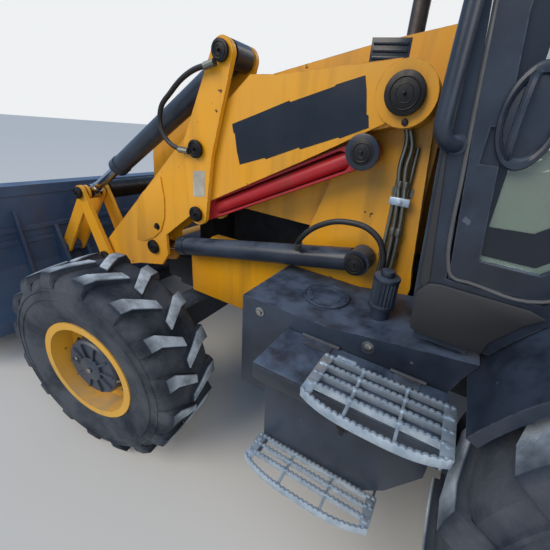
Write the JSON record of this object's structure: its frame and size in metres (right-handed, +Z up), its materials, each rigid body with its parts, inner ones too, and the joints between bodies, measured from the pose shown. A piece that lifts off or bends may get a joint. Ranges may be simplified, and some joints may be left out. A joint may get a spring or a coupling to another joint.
{
  "type": "backhoe loader",
  "caption": "Backhoe loader parked with a wide front shovel on two lifting arms, a black cab, and a folded digging arm with a toothed bucket on a sliding rear carriage.",
  "frame": {"origin": "middle of the machine on the ground, under the centre of its box", "axes": "+X forward to the loader shovel, +Y to the machine's left, +Z up"},
  "size_m": [6.027, 2.35, 3.5573],
  "materials": {
    "loader_paint": "worn amber-yellow paint",
    "rim_paint": "yellow paint, dusty",
    "tyre": "black rubber, grey mud on the lugs",
    "black_paint": "black satin paint, dusty and scratched",
    "roof_plastic": "black moulded roof",
    "glass": "clear, slightly green",
    "engine_iron": "dark cast iron",
    "exhaust_steel": "grey-brown, heat stained",
    "interior_plastic": "dark grey moulded",
    "seat_cloth": "dark woven cloth",
    "ram_paint": "black gloss paint",
    "rod_chrome": "bright chrome, oil film",
    "pin_steel": "dark greased steel",
    "tool_steel": "blue-black paint, scuffed",
    "tread_zinc": "galvanised, serrated"
  },
  "bodies": {
    "chassis": {"chassis_frame": "black_paint", "loader_towers": "loader_paint", "front_axle": "black_paint", "rear_axle": "black_paint", "engine_block": "engine_iron", "exhaust_stack": "exhaust_steel", "cab_frame": "black_paint", "cab_roof": "roof_plastic", "cab_glass": "glass", "cab_interior": "interior_plastic", "rear_fenders": "black_paint", "side_tanks": "black_paint", "toolboxes": "black_paint", "backhoe_frame": "black_paint", "loader_pipes": "pin_steel"},
    "door_left": {"door_left": "black_paint", "door_glass_left": "glass"},
    "door_right": {"door_right": "black_paint", "door_glass_right": "glass"},
    "front_wheel_left": {"front_tyre_left": "tyre", "front_rim_left": "rim_paint"},
    "rear_wheel_left": {"rear_tyre_left": "tyre", "rear_rim_left": "rim_paint"},
    "front_wheel_right": {"front_tyre_right": "tyre", "front_rim_right": "rim_paint"},
    "rear_wheel_right": {"rear_tyre_right": "tyre", "rear_rim_right": "rim_paint"},
    "bonnet": {"bonnet": "loader_paint"},
    "toolbox_lid": {"toolbox_lid": "tread_zinc"},
    "seat": {"seat": "seat_cloth"},
    "knuckle_left": {"knuckle_left": "black_paint"},
    "knuckle_right": {"knuckle_right": "black_paint"},
    "loader_arms": {"loader_arms": "loader_paint"},
    "levelling_levers": {"levelling_levers": "loader_paint"},
    "levelling_links": {"levelling_links": "loader_paint"},
    "lift_barrels": {"lift_barrels": "ram_paint"},
    "lift_rods": {"lift_rods": "rod_chrome"},
    "crowd_barrels": {"crowd_barrels": "ram_paint"},
    "crowd_rods": {"crowd_rods": "rod_chrome"},
    "tipping_levers": {"tipping_levers": "loader_paint"},
    "tipping_links": {"tipping_links": "loader_paint"},
    "tipping_pins": {"tipping_pins": "pin_steel"},
    "tipping_link_pins": {"tipping_link_pins": "pin_steel"},
    "shovel_pins": {"shovel_pins": "pin_steel"},
    "shovel": {"shovel": "tool_steel"},
    "carriage": {"carriage": "black_paint"},
    "kingpost": {"kingpost": "loader_paint"},
    "boom": {"boom": "loader_paint"},
    "dipper": {"dipper": "loader_paint"},
    "dig_bucket": {"dig_bucket": "tool_steel"},
    "bucket_lever": {"bucket_lever": "loader_paint"},
    "bucket_link": {"bucket_link": "loader_paint"},
    "boom_ram_barrel": {"boom_ram_barrel": "ram_paint"},
    "boom_ram_rod": {"boom_ram_rod": "rod_chrome"},
    "dipper_ram_barrel": {"dipper_ram_barrel": "ram_paint"},
    "dipper_ram_rod": {"dipper_ram_rod": "rod_chrome"},
    "bucket_ram_barrel": {"bucket_ram_barrel": "ram_paint"},
    "bucket_ram_rod": {"bucket_ram_rod": "rod_chrome"},
    "stabiliser_left": {"stabiliser_left": "black_paint"},
    "stabiliser_right": {"stabiliser_right": "black_paint"}
  },
  "joints": [
    {"name": "steer_left", "type": "hinge", "parent": "chassis", "child": "knuckle_left", "pos_m": [1.365, 0.77, 0.485], "axis": [0, 0, 1], "range_deg": [-31, 19]},
    {"name": "steer_right", "type": "hinge", "parent": "chassis", "child": "knuckle_right", "pos_m": [1.365, -0.77, 0.485], "axis": [0, 0, 1], "range_deg": [-32, 20]},
    {"name": "front_wheel_spin_left", "type": "hinge", "parent": "knuckle_left", "child": "front_wheel_left", "pos_m": [1.34723, 0.93907, 0.485], "axis": [-0.1045, 0.9945, 0], "continuous": true},
    {"name": "front_wheel_spin_right", "type": "hinge", "parent": "knuckle_right", "child": "front_wheel_right", "pos_m": [1.38277, -0.93907, 0.485], "axis": [-0.1045, 0.9945, 0], "continuous": true},
    {"name": "rear_wheel_spin_left", "type": "hinge", "parent": "chassis", "child": "rear_wheel_left", "pos_m": [-0.805, 0.905, 0.715], "axis": [0, 1, 0], "continuous": true},
    {"name": "rear_wheel_spin_right", "type": "hinge", "parent": "chassis", "child": "rear_wheel_right", "pos_m": [-0.805, -0.905, 0.715], "axis": [0, 1, 0], "continuous": true},
    {"name": "lift", "type": "hinge", "parent": "chassis", "child": "loader_arms", "pos_m": [0.292, 0, 1.717], "axis": [0, -1, 0], "range_deg": [-2, 83]},
    {"name": "lever_turn", "type": "hinge", "parent": "loader_arms", "child": "levelling_levers", "pos_m": [1.125, 0, 1.453], "axis": [0, -1, 0], "range_deg": [-78.79, 2.39]},
    {"name": "levelling_link_turn", "type": "hinge", "parent": "chassis", "child": "levelling_links", "pos_m": [0.396, 0, 1.536], "axis": [0, -1, 0], "range_deg": [-2.74, 93.46]},
    {"name": "lift_barrel_turn", "type": "hinge", "parent": "chassis", "child": "lift_barrels", "pos_m": [0.352, 0, 1.13], "axis": [0, -1, 0], "range_deg": [-2.33, 76.35]},
    {"name": "lift_rod_slide", "type": "slide", "parent": "lift_barrels", "child": "lift_rods", "axis": [0.9789, 0, -0.2041], "range_m": [-0.0206, 0.775]},
    {"name": "crowd_barrel_turn", "type": "hinge", "parent": "levelling_levers", "child": "crowd_barrels", "pos_m": [0.984, 0, 1.812], "axis": [0, -1, 0], "range_deg": [-1.97, 61.65]},
    {"name": "tipping_pin_level", "type": "hinge", "parent": "loader_arms", "child": "tipping_pins", "pos_m": [1.917, 0, 0.72], "axis": [0, -1, 0], "range_deg": [-83.5, 2.5]},
    {"name": "shovel_level", "type": "hinge", "parent": "loader_arms", "child": "shovel_pins", "pos_m": [2.262, 0, 0.275], "axis": [0, -1, 0], "range_deg": [-83.5, 2.5]},
    {"name": "crowd", "type": "hinge", "parent": "shovel_pins", "child": "shovel", "pos_m": [2.262, 0, 0.275], "axis": [0, -1, 0], "range_deg": [-45, 38]},
    {"name": "tipping_lever_turn", "type": "hinge", "parent": "tipping_pins", "child": "tipping_levers", "pos_m": [1.917, 0, 0.72], "axis": [0, -1, 0], "range_deg": [-45.5, 38.5]},
    {"name": "tipping_link_pin_turn", "type": "hinge", "parent": "tipping_levers", "child": "tipping_link_pins", "pos_m": [2.08, 0, 1.085], "axis": [0, -1, 0], "range_deg": [-38.5, 45.5]},
    {"name": "tipping_link_turn", "type": "hinge", "parent": "tipping_link_pins", "child": "tipping_links", "pos_m": [2.08, 0, 1.085], "axis": [0, -1, 0], "range_deg": [-2.5, 83.5]},
    {"name": "crowd_rod_slide", "type": "slide", "parent": "crowd_barrels", "child": "crowd_rods", "axis": [0.8333, 0, -0.5528], "range_m": [-0.2307, 0.2729]},
    {"name": "bonnet_lid", "type": "hinge", "parent": "chassis", "child": "bonnet", "pos_m": [0.195, 0, 1.93], "axis": [0, -1, 0], "range_deg": [0, 50]},
    {"name": "door_left", "type": "hinge", "parent": "chassis", "child": "door_left", "pos_m": [-0.74, 0.791, 1.262], "axis": [0, 0, 1], "range_deg": [0, 85]},
    {"name": "door_right", "type": "hinge", "parent": "chassis", "child": "door_right", "pos_m": [-0.74, -0.791, 1.262], "axis": [0, 0, -1], "range_deg": [0, 85]},
    {"name": "toolbox_lid", "type": "hinge", "parent": "chassis", "child": "toolbox_lid", "pos_m": [0.195, 0.8083, 0.924], "axis": [1, 0, 0], "range_deg": [0, 62]},
    {"name": "seat_swivel", "type": "hinge", "parent": "chassis", "child": "seat", "pos_m": [-0.645, 0, 1.1], "axis": [0, 0, 1], "range_deg": [0, 180]},
    {"name": "side_shift", "type": "slide", "parent": "chassis", "child": "carriage", "axis": [0, 1, 0], "range_m": [-0.5, 0.5]},
    {"name": "slew", "type": "hinge", "parent": "carriage", "child": "kingpost", "pos_m": [-2.165, 0, 0.6], "axis": [0, 0, 1], "range_deg": [-90, 90]},
    {"name": "boom", "type": "hinge", "parent": "kingpost", "child": "boom", "pos_m": [-2.345, 0, 0.66], "axis": [0, -1, 0], "range_deg": [0, 85]},
    {"name": "dipper", "type": "hinge", "parent": "boom", "child": "dipper", "pos_m": [-1.985, 0, 3.29], "axis": [0, 1, 0], "range_deg": [0, 100]},
    {"name": "bucket", "type": "hinge", "parent": "dipper", "child": "dig_bucket", "pos_m": [-2.655, 0, 1.64], "axis": [0, 1, 0], "range_deg": [0, 90]},
    {"name": "bucket_lever_turn", "type": "hinge", "parent": "dipper", "child": "bucket_lever", "pos_m": [-2.61, 0, 1.937], "axis": [0, 1, 0], "range_deg": [-0.5, 74.05]},
    {"name": "bucket_link_turn", "type": "hinge", "parent": "bucket_lever", "child": "bucket_link", "pos_m": [-2.879, 0, 1.885], "axis": [0, 1, 0], "range_deg": [-66.45, 0.5]},
    {"name": "boom_ram_turn", "type": "hinge", "parent": "kingpost", "child": "boom_ram_barrel", "pos_m": [-2.111, 0, 0.96], "axis": [0, -1, 0], "range_deg": [-0.5, 91.06]},
    {"name": "boom_ram_slide", "type": "slide", "parent": "boom_ram_barrel", "child": "boom_ram_rod", "axis": [-0.0417, 0, 0.9991], "range_m": [-0.002, 0.5021]},
    {"name": "dipper_ram_turn", "type": "hinge", "parent": "boom", "child": "dipper_ram_barrel", "pos_m": [-2.095, 0, 2.15], "axis": [0, 1, 0], "range_deg": [-0.5, 7.79]},
    {"name": "dipper_ram_slide", "type": "slide", "parent": "dipper_ram_barrel", "child": "dipper_ram_rod", "axis": [0.2886, 0, 0.9574], "range_m": [-0.5631, 0.002]},
    {"name": "bucket_ram_turn", "type": "hinge", "parent": "dipper", "child": "bucket_ram_barrel", "pos_m": [-2.455, 0, 2.985], "axis": [0, 1, 0], "range_deg": [-0.5, 1.14]},
    {"name": "bucket_ram_slide", "type": "slide", "parent": "bucket_ram_barrel", "child": "bucket_ram_rod", "axis": [-0.3597, 0, -0.9331], "range_m": [-0.3308, 0.002]},
    {"name": "stabiliser_left", "type": "slide", "parent": "chassis", "child": "stabiliser_left", "axis": [0, 0, -1], "range_m": [0, 0.45]},
    {"name": "stabiliser_right", "type": "slide", "parent": "chassis", "child": "stabiliser_right", "axis": [0, 0, -1], "range_m": [0, 0.45]}
  ],
  "couplings": [
    {"joint": "steer_right", "follows": "steer_left", "ratio": 1},
    {"joint": "lever_turn", "follows": "lift", "ratio": -0.9432},
    {"joint": "levelling_link_turn", "follows": "lift", "ratio": 1.12},
    {"joint": "lift_barrel_turn", "follows": "lift", "ratio": 0.9139},
    {"joint": "lift_rod_slide", "follows": "lift", "m_per_rad": 0.5336},
    {"joint": "crowd_barrel_turn", "follows": "lift", "ratio": 0.7368},
    {"joint": "tipping_pin_level", "follows": "lift", "ratio": -1},
    {"joint": "shovel_level", "follows": "lift", "ratio": -1},
    {"joint": "tipping_lever_turn", "follows": "crowd", "ratio": 1},
    {"joint": "tipping_link_pin_turn", "follows": "crowd", "ratio": -1},
    {"joint": "tipping_link_turn", "follows": "lift", "ratio": 1},
    {"joint": "crowd_rod_slide", "follows": "crowd", "m_per_rad": -0.3449},
    {"joint": "bucket_lever_turn", "follows": "bucket", "ratio": 0.8172},
    {"joint": "bucket_link_turn", "follows": "bucket", "ratio": -0.7328},
    {"joint": "boom_ram_turn", "follows": "boom", "ratio": 1.0654},
    {"joint": "boom_ram_slide", "follows": "boom", "m_per_rad": 0.3371},
    {"joint": "dipper_ram_turn", "follows": "dipper", "ratio": 0.0729},
    {"joint": "dipper_ram_slide", "follows": "dipper", "m_per_rad": -0.3215},
    {"joint": "bucket_ram_turn", "follows": "bucket", "ratio": 0.0071},
    {"joint": "bucket_ram_slide", "follows": "bucket", "m_per_rad": -0.2093}
  ]
}
